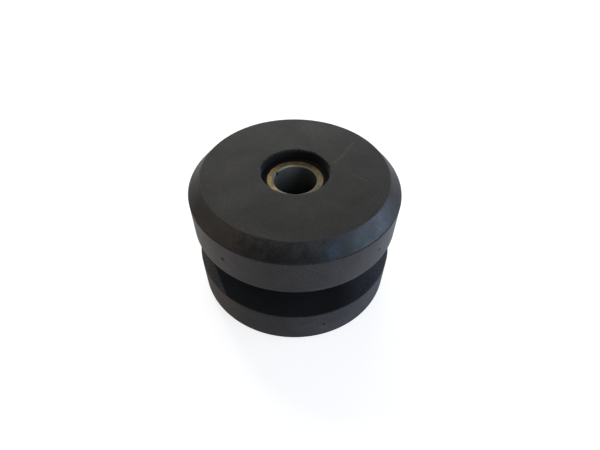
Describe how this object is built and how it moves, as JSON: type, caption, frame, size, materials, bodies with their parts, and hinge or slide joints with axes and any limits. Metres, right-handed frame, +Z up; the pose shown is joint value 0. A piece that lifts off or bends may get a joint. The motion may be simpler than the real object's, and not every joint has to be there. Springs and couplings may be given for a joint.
{
  "type": "bobbin vibration mount",
  "caption": "Rubber bobbin mount: two thick bevelled flanges and a narrower neck that form a deep groove, bonded round a steel sleeve set below both faces.",
  "frame": {"origin": "centre of the bottom face, on the bore's axis", "axes": "+Z up along the bore; +X to the right and +Y away, seen from the front. The shape is turned about Z, so only three small vent pits set the turn"},
  "size_m": [0.1, 0.1, 0.071],
  "materials": {
    "rubber": "matt moulded black rubber, slightly greyed",
    "sleeve_steel": "plain cut steel tube with a thin tan bonding film"
  },
  "bodies": {
    "root": {"rubber_spool": "rubber", "steel_sleeve": "sleeve_steel"}
  },
  "joints": []
}
